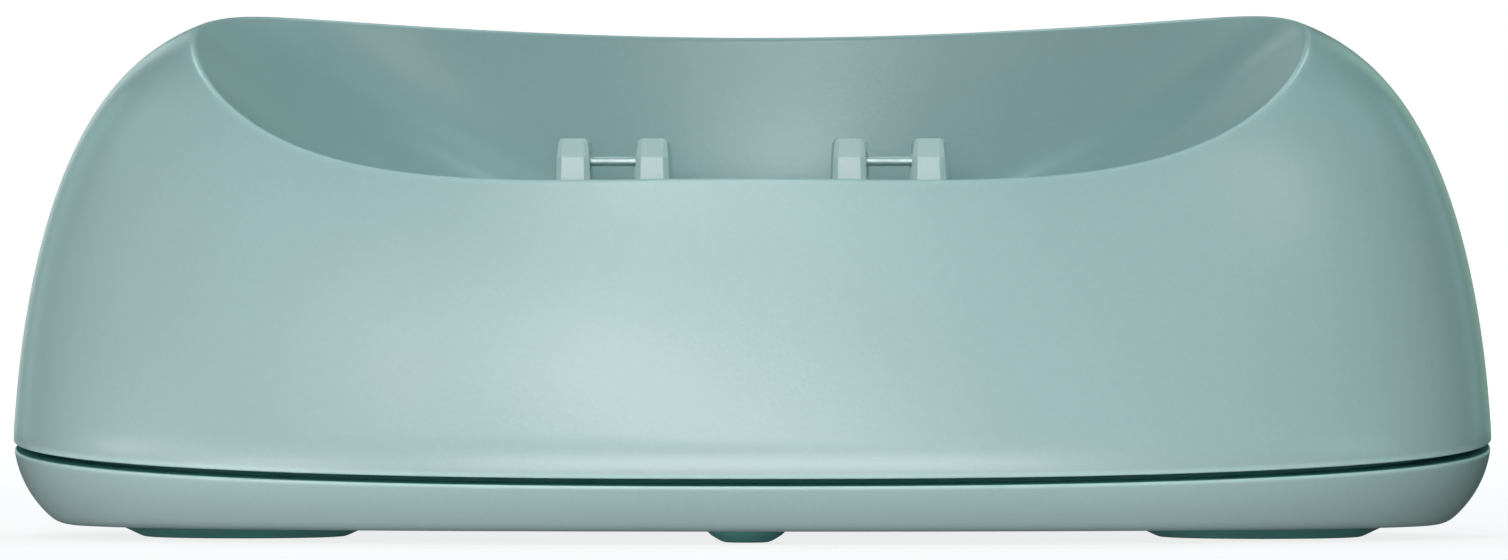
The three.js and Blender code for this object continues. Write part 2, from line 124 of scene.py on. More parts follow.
def climb(phi, share):
    ends = np.cos(phi) ** 2
    steep = np.where(np.sin(phi) < 0, FALL_FRONT, FALL_BACK)
    return ends * share**FALL_END + (1 - ends) * share**steep


def seam_point(theta, dz, d=0.0):
    """The point on the seam plane, shifted by dz, where the body inset by d crosses it."""
    y = np.zeros(np.shape(theta))
    for _ in range(12):
        z = SEAM_Z + dz + SEAM_SLOPE * y
        y = body(theta, z, d)[..., 1]
    return body(theta, SEAM_Z + dz + SEAM_SLOPE * y, d)


def resample(path, stations):
    """path (rows, cols, 3) at the given arc lengths, stations (rows2, cols), measured from its first row."""
    seg = np.linalg.norm(np.diff(path, axis=0), axis=2)
    run = np.vstack([np.zeros((1, path.shape[1])), np.cumsum(seg, 0)])
    out = np.empty((stations.shape[0], path.shape[1], 3))
    for j in range(path.shape[1]):
        for k in range(3):
            out[:, j, k] = np.interp(stations[:, j], run[:, j], path[:, j, k])
    return out, run


def bezier(p0, t0, p1, t1, rows):
    """A fillet between p0 and p1, whose tangents t0 and t1 both point at the sharp corner."""
    corner = np.cross(t0, t1)
    cosang = np.clip(-(t0 * t1).sum(-1), -1, 1)  # turning angle between the two legs
    beta = np.arccos(cosang)
    chord = np.linalg.norm(p1 - p0, axis=-1)
    r = chord / (2 * np.sin(np.maximum(beta, 1e-3) / 2))
    h = (4 / 3 * np.tan(beta / 4) * r)[:, None]
    del corner
    u = np.linspace(0, 1, rows)[:, None, None]
    c0, c1 = p0 + t0 * h, p1 + t1 * h
    return (
        (1 - u) ** 3 * p0
        + 3 * (1 - u) ** 2 * u * c0
        + 3 * (1 - u) * u * u * c1
        + u**3 * p1
    )


# ------------------------------------------------------------------ mesh helpers
def mesh_object(name, verts, faces, body_name="base", sharp=None):
    me = bpy.data.meshes.new(name)
    me.from_pydata([tuple(v) for v in verts], [], faces)
    me.validate()
    ob = bpy.data.objects.new(name, me)
    bpy.context.scene.collection.objects.link(ob)
    bm = bmesh.new()
    bm.from_mesh(me)
    bmesh.ops.recalc_face_normals(bm, faces=bm.faces)
    if bm.calc_volume(signed=True) < 0:
        bmesh.ops.reverse_faces(bm, faces=bm.faces)
    bm.to_mesh(me)
    bm.free()
    me.shade_smooth()
    if sharp is not None:
        me.set_sharp_from_angle(angle=math.radians(sharp))
    if body_name:
        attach(ob, body_name)
    return ob


def rings_mesh(name, rings, cap0=None, cap1=None, closed_rows=False, **kw):
    """Quads between rings of the same count; cap0 and cap1 are centre points for the first and last ring."""
    rows, cols = len(rings), len(rings[0])
    verts = np.concatenate([np.asarray(r, float) for r in rings]) * MM
    faces = []
    last = rows if closed_rows else rows - 1
    for i in range(last):
        a, b = i * cols, ((i + 1) % rows) * cols
        for j in range(cols):
            k = (j + 1) % cols
            faces.append((a + j, a + k, b + k, b + j))
    verts = [tuple(v) for v in verts]
    if cap0 is not None:
        c = len(verts)
        verts.append(tuple(np.asarray(cap0) * MM))
        faces += [((j + 1) % cols, j, c) for j in range(cols)]
    if cap1 is not None:
        c = len(verts)
        verts.append(tuple(np.asarray(cap1) * MM))
        base = (rows - 1) * cols
        faces += [(base + j, base + (j + 1) % cols, c) for j in range(cols)]
    return mesh_object(name, verts, faces, **kw)


def prism(points, y0, y1, name="cutter"):
    """A closed prism along Y from an outline in X and Z."""
    n = len(points)
    verts = [(x * MM, y0 * MM, z * MM) for x, z in points] + [
        (x * MM, y1 * MM, z * MM) for x, z in points
    ]
    faces = [tuple(range(n)), tuple(reversed(range(n, 2 * n)))]
    faces += [(i, (i + 1) % n, n + (i + 1) % n, n + i) for i in range(n)]
    return mesh_object(name, verts, faces, body_name=None)


def upright(outline_points, z0, z1, name="cutter"):
    n = len(outline_points)
    verts = [(x * MM, y * MM, z0 * MM) for x, y in outline_points] + [
        (x * MM, y * MM, z1 * MM) for x, y in outline_points
    ]
    faces = [tuple(range(n)), tuple(reversed(range(n, 2 * n)))]
    faces += [(i, (i + 1) % n, n + (i + 1) % n, n + i) for i in range(n)]
    return mesh_object(name, verts, faces, body_name=None)


def rounded_rect(cx, cy, w, h, r, n=6):
    pts = []
    for sx, sy, a0 in ((1, 1, 0), (-1, 1, 90), (-1, -1, 180), (1, -1, 270)):
        for i in range(n + 1):
            a = math.radians(a0 + 90 * i / n)
            pts.append(
                (
                    cx + sx * (w / 2 - r) + r * math.cos(a),
                    cy + sy * (h / 2 - r) + r * math.sin(a),
                )
            )
    return pts


def circle(cx, cy, r, n=48):
    return [
        (cx + r * math.cos(2 * math.pi * i / n), cy + r * math.sin(2 * math.pi * i / n))
        for i in range(n)
    ]


def boolean(ob, cutter, kind="DIFFERENCE"):
    m = ob.modifiers.new("cut", "BOOLEAN")
    m.operation, m.object, m.solver = kind, cutter, "EXACT"
    dg = bpy.context.evaluated_depsgraph_get()
    dg.update()
    made = bpy.data.meshes.new_from_object(ob.evaluated_get(dg))
    ob.modifiers.clear()
    old = ob.data
    ob.data = made
    bpy.data.meshes.remove(old)
    bpy.data.objects.remove(cutter, do_unlink=True)
    return ob


def smooth(ob, angle):
    ob.data.shade_smooth()
    ob.data.set_sharp_from_angle(angle=math.radians(angle))


def mark_painted_highlight(ob, bands):
    """Write how much painted highlight each vertex gets from lying near a lit edge: bands is [(rows of points,
    reach in mm, strength)].
    """
    me = ob.data
    values = np.zeros(len(me.vertices), np.float32)
    for rows, reach, strength in bands:
        points = np.concatenate([np.asarray(r, float).reshape(-1, 3) for r in rows]) * MM
        tree = KDTree(len(points))
        for i, p in enumerate(points):
            tree.insert(p, i)
        tree.balance()
        for i, v in enumerate(me.vertices):
            d = tree.find(v.co)[2] / MM
            values[i] = max(values[i], strength * max(0.0, 1 - d / reach))
    layer = me.attributes.new("edge_painted_highlight", "FLOAT", "POINT")
    layer.data.foreach_set("value", values)


# ------------------------------------------------------------------ camera
cam_data = bpy.data.cameras.new("camera")
camera = bpy.data.objects.new("camera", cam_data)
bpy.context.scene.collection.objects.link(camera)
bpy.context.scene.camera = camera
cam_data.sensor_width = 36.0
cam_data.lens = 256.4
cam_data.clip_start, cam_data.clip_end = 0.01, 50.0
AZ = math.radians(1.3)
DIST = 0.800
camera.location = (DIST * math.sin(AZ) + 0.00015, -DIST * math.cos(AZ), 0.0191)
camera.rotation_euler = (math.pi / 2, 0, AZ)

# ------------------------------------------------------------------ upper shell
phi = np.linspace(0, 2 * np.pi, COLS, endpoint=False)
rx, ry = outline(phi)
rz = dome_height(rx, ry)
rim = np.stack([rx, ry, rz], -1)
theta = theta_of(rx, ry, rz)

tangent = np.roll(rim, -1, 0) - np.roll(rim, 1, 0)
tangent /= np.linalg.norm(tangent, axis=1)[:, None]

# outer surface, from the rim down to the seam
low = seam_point(theta, SEAM_GAP / 2)
u = np.linspace(0, 1, 500)[:, None]
zz = rz[None, :] + (low[:, 2] - rz)[None, :] * u**1.4
outer = body(theta[None, :], zz)
# basin, from the rim in to its centre
share = 1 - np.linspace(0, 1, 500)[:, None] ** 1.6 * 0.985
bx, by = outline(phi[None, :], 0, share)
bz = BAS_Z + (rz - BAS_Z)[None, :] * climb(phi[None, :], share)
inner = np.stack([bx, by, bz], -1)


def leg(path, dist):
    """Unit direction off the rim, square to it, and the distance along the column that gives dist square to it."""
    d = path[6] - path[0]
    d /= np.linalg.norm(d, axis=1)[:, None]
    along = (d * tangent).sum(1)
    square = d - along[:, None] * tangent
    size = np.linalg.norm(square, axis=1)
    return square / size[:, None], dist / size


# the lip is crisp in front and rounder at the horns and behind
lean = np.sin(phi)
RIM_R = 0.62 - 0.34 * np.maximum(-lean, 0) ** 2 - 0.10 * np.maximum(lean, 0) ** 2
dir_o, _ = leg(outer, 1.0)
dir_i, _ = leg(inner, 1.0)
alpha = np.arccos(np.clip((dir_o * dir_i).sum(1), -1, 1))
setback = np.minimum(RIM_R / np.tan(alpha / 2), 1.3)
_, len_o = leg(outer, setback)
_, len_i = leg(inner, setback)


def tangents_at(path, dist):
    eps = 0.05
    a, _ = resample(path, dist[None, :])
    b, _ = resample(path, dist[None, :] + eps)
    d = b[0] - a[0]
    d /= np.linalg.norm(d, axis=1)[:, None]
    along = (d * tangent).sum(1)
    d = d - along[:, None] * tangent
    return a[0], -d / np.linalg.norm(d, axis=1)[:, None]


p_i, t_i = tangents_at(inner, len_i)
p_o, t_o = tangents_at(outer, len_o)
fillet = bezier(p_i, t_i, p_o, t_o, 11)

_, run_i = resample(inner, np.zeros((1, COLS)))
total_i = run_i[-1]
s = np.linspace(0, 1, 70)[:, None] ** 1.25
st = len_i[None, :] + (total_i - len_i)[None, :] * s
basin_rows, _ = resample(inner, st)

_, run_o = resample(outer, np.zeros((1, COLS)))
total_o = run_o[-1]
EDGE_R = 0.17
s = np.linspace(0, 1, 78)[:, None]
st = len_o[None, :] + (total_o - EDGE_R - len_o)[None, :] * s
outer_rows, _ = resample(outer, st)

# the rounded lower edge, the face over the shadow gap, and the hidden inside
e0 = outer_rows[-1]
down = outer_rows[-1] - outer_rows[-2]
down /= np.linalg.norm(down, axis=1)[:, None]
e1 = seam_point(theta, SEAM_GAP / 2, EDGE_R)
out = low - seam_point(theta, SEAM_GAP / 2, 1.0)
out /= np.linalg.norm(out, axis=1)[:, None]
edge = bezier(e0, down, e1, out, 7)
face = [seam_point(theta, SEAM_GAP / 2, d) for d in (0.8, 1.4, WALL)]

# where the hollow's wall meets the underside of the basin
def under_point(q):
    """Along the basin's underside: q up to 1 is the share of the outline, beyond that it climbs straight up."""
    sh = np.minimum(q, 1)
    x, y = outline(phi, WALL, sh)
    z = BAS_Z - WALL - 0.1 + (rz - BAS_Z) * climb(phi, sh) + np.maximum(q - 1, 0) * 30
    return x, y, z


lo, hi = np.full(COLS, 0.3), np.full(COLS, 1.4)
for _ in range(40):
    mid = (lo + hi) / 2
    x, y, z = under_point(mid)
    a, b = half_width(np.minimum(z, 39.6)) - WALL, np.maximum(half_depth(np.minimum(z, 39.6)) - WALL, 0.05)
    inside = np.abs(x / a) ** POWER + np.abs(y / b) ** POWER < 1
    lo, hi = np.where(inside, mid, lo), np.where(inside, hi, mid)
x, y, z = under_point(lo)
crease = np.stack([x, y, z], -1)
theta_c = theta_of(x, y, z, WALL)
dth = (theta_c - theta + np.pi) % (2 * np.pi) - np.pi
wall_rows = []
for f in np.linspace(0, 1, 16)[1:-1]:
    g = 1 - (1 - f) ** 1.5
    zf = face[-1][:, 2] + (z - face[-1][:, 2]) * g
    wall_rows.append(body(theta + dth * g, zf, WALL))
under_rows = [crease]
for f in np.linspace(1, 0.04, 22)[1:]:
    xx, yy, zu = under_point(lo * f)
    under_rows.append(np.stack([xx, yy, zu], -1))

rings = (
    [r for r in basin_rows[::-1]]
    + [r for r in fillet[1:-1]]
    + [r for r in outer_rows]
    + [r for r in edge[1:]]
    + face
    + wall_rows
    + under_rows
)
shell = rings_mesh(
    "shell_visible",
    rings,
    cap0=(0, BAS_Y, BAS_Z),
    cap1=(0, BAS_Y, BAS_Z - WALL - 0.1),
)
for s_ in (-1, 1):
    cut = upright(rounded_rect(s_ * PAIR_X, CON_Y, 9.8, 4.2, 0.5), 17, 27)
    boolean(shell, cut)
boolean(shell, prism(rounded_rect(0, 12.15, 9.64, 3.9, 1.9, 10), 24, 31))
smooth(shell, 38)
# painted highlight along the lip fillet and along the lower edge over the seam
mark_painted_highlight(shell, [(fillet[5:9], 0.22, 0.5), (edge[1:5], 0.25, 1.0)])
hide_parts("upper_shell")

# ------------------------------------------------------------------ lower tray
th = np.linspace(0, 2 * np.pi, COLS, endpoint=False)
top = seam_point(th, -SEAM_GAP / 2)
flat_d = 0.35  # inset where the flat underside starts
t0 = body(th, np.full(COLS, UNDERSIDE))
path = []
for f in np.linspace(0, 1, 200):
    path.append(body(th, UNDERSIDE + (top[:, 2] - UNDERSIDE) * f))
path = np.array(path)
_, run = resample(path, np.zeros((1, COLS)))
tot = run[-1]
EDGE_T = 0.16
LOW_R = 1.0
s = np.linspace(0, 1, 30)[:, None]
side_rows, _ = resample(path, LOW_R + (tot - EDGE_T - LOW_R)[None, :] * s)
q0 = body(th, np.full(COLS, UNDERSIDE), 1.05)
toward = t0 - q0
toward /= np.linalg.norm(toward, axis=1)[:, None]
dn = side_rows[0] - side_rows[1]
dn /= np.linalg.norm(dn, axis=1)[:, None]
bottom_fillet = bezier(q0, toward, side_rows[0], dn, 7)
up = side_rows[-1] - side_rows[-2]
up /= np.linalg.norm(up, axis=1)[:, None]
q1 = seam_point(th, -SEAM_GAP / 2, EDGE_T)
outw = top - seam_point(th, -SEAM_GAP / 2, 1.0)
outw /= np.linalg.norm(outw, axis=1)[:, None]
top_fillet = bezier(side_rows[-1], up, q1, outw, 7)
floor_rings = [
    np.stack([q0[:, 0] * f, q0[:, 1] * f, np.full(COLS, UNDERSIDE)], -1)
    for f in (0.08, 0.3, 0.55, 0.8, 0.95)
]
rings = floor_rings + [r for r in bottom_fillet] + [r for r in side_rows[1:]] + [
    r for r in top_fillet[1:]
]
rings += [seam_point(th, -SEAM_GAP / 2, d) for d in (1.0, 1.7, TONGUE_IN)]
rings += [seam_point(th, -SEAM_GAP / 2 + h, TONGUE_IN) for h in (0.7, 1.4, TONGUE_UP)]
rings += [seam_point(th, -SEAM_GAP / 2 + TONGUE_UP, d) for d in (2.9, TRAY_WALL)]
for f in (0.75, 0.5, 0.25, 0.0):
    zt = seam_point(th, -SEAM_GAP / 2 + TONGUE_UP, TRAY_WALL)[:, 2]
    rings.append(body(th, FLOOR_TOP + (zt - FLOOR_TOP) * f, TRAY_WALL))
inner_edge = body(th, np.full(COLS, FLOOR_TOP), TRAY_WALL)
rings += [
    np.stack([inner_edge[:, 0] * f, inner_edge[:, 1] * f, np.full(COLS, FLOOR_TOP)], -1)
    for f in (0.9, 0.6, 0.3, 0.08)
]
tray = rings_mesh("tray_visible", rings, cap0=(0, 0, UNDERSIDE), cap1=(0, 0, FLOOR_TOP))
for s_ in (-1, 1):
    boolean(tray, upright(circle(s_ * 37.8, 0, 9.8, 96), 0, 1.5))
    boolean(tray, upright(circle(0, s_ * 18, 3.25, 48), 0, 1.5))
    for t_ in (-1, 1):
        boolean(tray, upright(circle(s_ * 31, t_ * 15, 3.6, 48), 2.0, 5.4), "UNION")
        boolean(tray, upright(circle(s_ * 31, t_ * 15, 2.6, 48), 0, 3.2))
        boolean(tray, upright(circle(s_ * 31, t_ * 15, 1.45, 32), 3, 6))
boolean(tray, upright(rounded_rect(0, 25.75, 10.6, 7.5, 0.3), 9.4, 20))
smooth(tray, 38)
# painted highlight along the tray's upper edge at the seam
mark_painted_highlight(tray, [(top_fillet[1:5], 0.25, 1.0)])
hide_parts("lower_tray")


# ------------------------------------------------------------------ contact blocks and posts
def section(cx, z, hw, front, back, ch):
    """A post's outline at one height: bevelled in front, its sides opening a little towards the back."""
    f, b = CON_Y - front, CON_Y + back
    nose, heel = hw - 0.2, 0.16
    return [
        (cx - nose + ch, f, z),
        (cx + nose - ch, f, z),
        (cx + nose, f + ch, z),
        (cx + hw, b - heel, z),
        (cx + hw - heel, b, z),
        (cx - hw + heel, b, z),
        (cx - hw, b - heel, z),
        (cx - nose, f + ch, z),
    ]


def loft(name, sections):
    verts = [tuple(c * MM for c in p) for sec in sections for p in sec]
    n = len(sections[0])
    faces = [tuple(reversed(range(n)))]
    for i in range(len(sections) - 1):
        for j in range(n):
            k = (j + 1) % n
            faces.append((i * n + j, i * n + k, (i + 1) * n + k, (i + 1) * n + j))
    faces.append(tuple(range((len(sections) - 1) * n, len(sections) * n)))
    return mesh_object(name, verts, faces, body_name=None)


blocks = []
for side, s_ in (("left", -1), ("right", 1)):
    c = s_ * PAIR_X
    block = upright(rounded_rect(c, CON_Y, 9.2, 3.6, 0.35, 3), 16.2, 21.5, "block_visible_" + side)
    flange = upright(rounded_rect(c, CON_Y, 11.0, 21.0, 0.8, 4), 15.4, 17.0)
    boolean(block, flange, "UNION")
    for p_ in (-1, 1):
        x = c + p_ * POST_DX
        post = loft(
            "post",
            [
                section(x, 20.6, 1.57, 1.65, 1.65, 0.44),
                section(x, 26.3, 1.49, 1.6, 1.6, 0.42),
                section(x, 28.2, 1.40, 1.5, 1.5, 0.39),
                section(x, 29.28, 1.30, 0.80, 1.28, 0.33),
                section(x, 29.6, 1.06, 0.52, 1.03, 0.28),
            ],
        )
        boolean(block, post, "UNION")
    reach = WIRE_LEG + WIRE_D / 2 + 0.3
    boolean(
        block,
        upright(
            rounded_rect(c, CON_Y, 2 * reach, 1.3, 0.2, 3), 14, WIRE_Z + WIRE_D / 2 + 0.3
        ),
    )
    for y_ in (-11.3, 5.3):
        boolean(block, upright(circle(c, y_, 1.15, 24), 14, 18))
    bm = bmesh.new()
    bm.from_mesh(block.data)
    bmesh.ops.remove_doubles(bm, verts=bm.verts, dist=1e-6)
    bmesh.ops.dissolve_limit(
        bm, angle_limit=math.radians(1.0), verts=bm.verts, edges=bm.edges
    )
    bm.to_mesh(block.data)
    bm.free()
    bev = block.modifiers.new("bevel", "BEVEL")
    bev.width, bev.segments, bev.limit_method = 0.12 * MM, 3, "ANGLE"
    bev.angle_limit = math.radians(12)
    bev.harden_normals = False
    block.data.shade_smooth()
    wn = block.modifiers.new("normals", "WEIGHTED_NORMAL")
    wn.keep_sharp = False
    wn.weight = 80
    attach(block, "base")
    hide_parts("contact_block_" + side)
    blocks.append(block)


# ------------------------------------------------------------------ wires and springs
def tube(name, points, r, sides, body_name, closed_ends=True):
    pts = np.asarray(points, float)
    d = np.gradient(pts, axis=0)
    d /= np.linalg.norm(d, axis=1)[:, None]
    ref = np.array([0.0, 1.0, 0.0]) if abs(d[0][1]) < 0.9 else np.array([1.0, 0, 0])
    nrm = ref - d[0] * (ref @ d[0])
    nrm /= np.linalg.norm(nrm)
    rings = []
    for i, p in enumerate(pts):
        nrm = nrm - d[i] * (nrm @ d[i])
        nrm /= np.linalg.norm(nrm)
        bi = np.cross(d[i], nrm)
        a = np.arange(sides) / sides * 2 * np.pi
        ring = p + r * (np.cos(a)[:, None] * nrm + np.sin(a)[:, None] * bi)
        if i == 0:
            ring0 = p + 0.7 * r * (np.cos(a)[:, None] * nrm + np.sin(a)[:, None] * bi)
            rings.append(ring0 - d[i] * 0.0)
            ring = ring + d[i] * 0.3 * r
        if i == len(pts) - 1:
            ring = ring - d[i] * 0.3 * r
        rings.append(ring)
        if i == len(pts) - 1:
            rings.append(p + 0.7 * r * (np.cos(a)[:, None] * nrm + np.sin(a)[:, None] * bi))
    ob = rings_mesh(name, rings, cap0=pts[0], cap1=pts[-1], body_name=body_name)
    smooth(ob, 50)
    return ob


wires, springs = [], []
for side, s_ in (("left", -1), ("right", 1)):
    c = s_ * PAIR_X
    bend = 0.6
    pts = [(c - WIRE_LEG, CON_Y, z) for z in np.linspace(WIRE_LOW, WIRE_Z - bend, 24)]
    pts += [
        (c - WIRE_LEG + bend * (1 - math.cos(a)), CON_Y, WIRE_Z - bend + bend * math.sin(a))
        for a in np.linspace(0, math.pi / 2, 13)[1:]
    ]
    pts += [(x, CON_Y, WIRE_Z) for x in np.linspace(c - WIRE_LEG + bend, c + WIRE_LEG - bend, 16)[1:]]
    pts += [
        (c + WIRE_LEG - bend * (1 - math.sin(a)), CON_Y, WIRE_Z - bend + bend * math.cos(a))
        for a in np.linspace(0, math.pi / 2, 13)[1:]
    ]
    pts += [(c + WIRE_LEG, CON_Y, z) for z in np.linspace(WIRE_Z - bend, WIRE_LOW, 24)[1:]]
    wire = tube("wire_visible_" + side, pts, WIRE_D / 2, 24, "contact_" + side)
    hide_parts("contact_wire_" + side)
    wires.append(wire)

    lo_, hi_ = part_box("contact_spring_" + side)
    z0, z1 = lo_.z / MM + 0.17, hi_.z / MM - 0.17
    turns, r = 5.0, 1.5
    pts = []
    for i in range(361):
        f = i / 360
        a = f * turns * 2 * math.pi
        # dead coils at both ends, even pitch between
        g = np.interp(f, [0, 0.13, 0.87, 1], [0, 0.06, 0.94, 1])
        pts.append((c + r * math.cos(a), CON_Y + r * math.sin(a), z0 + (z1 - z0) * g))
    spring = tube("spring_visible_" + side, pts, 0.14, 10, None)
    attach(spring, "base")
    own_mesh(spring)
    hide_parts("contact_spring_" + side)
    springs.append(spring)


# ------------------------------------------------------------------ turned pieces: feet, screws
def lathe(name, profile, x, y, sides, body_name="base", sharp=50):
    """profile: (radius, z) from the lower axis point to the upper one, both with radius 0."""
    a = np.arange(sides) / sides * 2 * np.pi
    rings = [
        np.stack([x + r * np.cos(a), y + r * np.sin(a), np.full(sides, z)], -1)
        for r, z in profile[1:-1]
    ]
    ob = rings_mesh(
        name,
        rings,
        cap0=(x, y, profile[0][1]),
        cap1=(x, y, profile[-1][1]),
        body_name=body_name,
    )
    smooth(ob, sharp)
    return ob


def arc(cx, cz, r, a0, a1, n=6):
    return [
        (cx + r * math.cos(math.radians(a0 + (a1 - a0) * i / n)),
         cz + r * math.sin(math.radians(a0 + (a1 - a0) * i / n)))
        for i in range(n + 1)
    ]


feet = []
for side, s_ in (("left", -1), ("right", 1)):
    prof = (
        [(0, 0.12), (5.6, 0.12), (5.75, 0.1), (5.9, 0.0), (7.2, 0.0)]
        + [(7.45, 0.02), (7.65, 0.08), (7.85, 0.16)]
        + [(9.0, 0.70), (9.2, 0.81), (9.34, 0.93), (9.4, 1.08), (9.4, 1.3), (0, 1.3)]
    )
    foot = lathe("foot_visible_" + side, prof, s_ * 37.8, 0, 128)
    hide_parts("foot_pad_" + side)
    feet.append(foot)
for name, y_ in (("front", -18), ("rear", 18)):
    prof = [(0, 0.0), (1.35, 0.0), (1.6, 0.03), (1.85, 0.11), (2.2, 0.3), (2.55, 0.52),
            (2.78, 0.72), (2.88, 0.9), (2.9, 1.1), (2.9, 1.3), (0, 1.3)]
    nub = lathe("nub_visible_" + name, prof, 0, y_, 64)
    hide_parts("foot_nub_" + name)
    feet.append(nub)

screws = []
for i, (x_, y_) in enumerate([(-31, -15), (31, -15), (-31, 15), (31, 15)]):
    prof = (
        [(0, 1.5), (1.5, 1.5)]
        + [(1.85, 1.6), (2.1, 1.8), (2.22, 2.1), (2.25, 2.4)]
        + [(2.25, 3.0), (1.1, 3.0)]
    )
    zt = 3.0
    while zt < 12.6:
        prof += [(1.1, zt + 0.05), (0.92, zt + 0.22), (0.92, zt + 0.45), (1.1, zt + 0.62), (1.1, zt + 0.7)]
        zt += 0.72
    prof += [(0.9, 13.2), (0.3, 14.0), (0, 14.0)]
    sc = lathe("case_screw_visible_%d" % (i + 1), prof, x_, y_, 40, body_name=None, sharp=35)
    for w, h in ((0.55, 2.6), (2.6, 0.55)):
        boolean(sc, upright(rounded_rect(x_, y_, w, h, 0.1, 2), 1.0, 2.35))
    smooth(sc, 35)
    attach(sc, "base")
    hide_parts("case_screw_%d" % (i + 1))
    screws.append(sc)


# ------------------------------------------------------------------ power inlet
def oval(w, h, r, z, n=10):
    return rounded_rect(0, z, w, h, r, n)


INZ = 12.15
n_ = len(oval(8.94, 3.2, 1.5, INZ))
outer_o = np.array(oval(8.94, 3.2, 1.5, INZ))
outer_c = np.array(oval(8.74, 3.0, 1.42, INZ))
inner_o = np.array(oval(8.34, 2.6, 1.2, INZ))
inner_c = np.array(oval(8.54, 2.8, 1.32, INZ))


def ring_xz(o, y):
    return np.stack([o[:, 0], np.full(len(o), y), o[:, 1]], -1)


rings = [
    ring_xz(outer_o, 20.5),
    ring_xz(outer_o, 24.0),
    ring_xz(outer_o, 27.8),
    ring_xz((outer_o * 0.65 + outer_c * 0.35), 27.87),
    ring_xz(outer_c, 27.9),
    ring_xz(inner_c, 27.9),
    ring_xz((inner_o * 0.65 + inner_c * 0.35), 27.87),
    ring_xz(inner_o, 27.8),
    ring_xz(inner_o, 24.0),
    ring_xz(inner_o, 20.5),
]
inlet = rings_mesh("inlet_shell_visible", rings, closed_rows=True)
smooth(inlet, 40)
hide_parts("inlet_shell")

tongue = prism(rounded_rect(0, INZ, 6.6, 0.7, 0.12, 3), 22.5, 27.0, "inlet_insulator_visible")
boolean(tongue, prism(oval(7.84, 2.1, 0.9, INZ), 20.6, 22.9), "UNION")
bev = tongue.modifiers.new("bevel", "BEVEL")
bev.width, bev.segments, bev.limit_method = 0.06 * MM, 2, "ANGLE"
bev.angle_limit = math.radians(30)
smooth(tongue, 35)
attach(tongue, "base")
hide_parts("inlet_insulator")
strips = []
for row, zoff in ((0, 0.36), (1, -0.36)):
    for i in range(8):
        x = -2.45 + 0.7 * i
        st_ = prism(rounded_rect(x, INZ + zoff, 0.34, 0.08, 0.02, 2), 23.2, 26.8, "inlet_contact_%d_%d" % (row, i))
        smooth(st_, 40)
        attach(st_, "base")
        strips.append(st_)

# ------------------------------------------------------------------ materials
def new_material(name, base, rough, metal=0.0, **sockets):
    m = bpy.data.materials.new(name)
    m.use_nodes = True
    nt = m.node_tree
    bsdf = nt.nodes["Principled BSDF"]
    bsdf.inputs["Base Color"].default_value = (*base, 1)
    bsdf.inputs["Roughness"].default_value = rough
    bsdf.inputs["Metallic"].default_value = metal
    for k, v in sockets.items():
        bsdf.inputs[k.replace("_", " ")].default_value = v
    return m, nt, bsdf


def add(nt, kind, **props):
    n = nt.nodes.new(kind)
    for k, v in props.items():
        setattr(n, k, v)
    return n


def noise(nt, coord, scale, detail=4.0, roughness=0.55, stretch=None):
    n = add(nt, "ShaderNodeTexNoise")
    n.inputs["Scale"].default_value = scale
    n.inputs["Detail"].default_value = detail
    n.inputs["Roughness"].default_value = roughness
    if stretch:
        mp = add(nt, "ShaderNodeMapping")
        mp.inputs["Scale"].default_value = stretch
        nt.links.new(coord, mp.inputs["Vector"])
        nt.links.new(mp.outputs["Vector"], n.inputs["Vector"])
    else:
        nt.links.new(coord, n.inputs["Vector"])
    return n.outputs["Fac"]


def remap(nt, value, lo, hi, a=0.0, b=1.0):
    n = add(nt, "ShaderNodeMapRange")
    n.inputs["From Min"].default_value, n.inputs["From Max"].default_value = lo, hi
    n.inputs["To Min"].default_value, n.inputs["To Max"].default_value = a, b
    nt.links.new(value, n.inputs["Value"])
    return n.outputs["Result"]


def ramp_colour(nt, value, c0, c1):
    n = add(nt, "ShaderNodeMix", data_type="RGBA")
    nt.links.new(value, n.inputs[0])
    n.inputs[6].default_value = (*c0, 1)
    n.inputs[7].default_value = (*c1, 1)
    return n.outputs[2]


def bump(nt, bsdf, height, strength, distance, chain=None):
    n = add(nt, "ShaderNodeBump")
    n.inputs["Strength"].default_value = strength
    n.inputs["Distance"].default_value = distance
    nt.links.new(height, n.inputs["Height"])
    if chain is not None:
        nt.links.new(chain, n.inputs["Normal"])
    nt.links.new(n.outputs["Normal"], bsdf.inputs["Normal"])
    return n.outputs["Normal"]


def position(nt):
    return add(nt, "ShaderNodeTexCoord").outputs["Object"]


def scaled(c, f):
    return tuple(v * f for v in c)


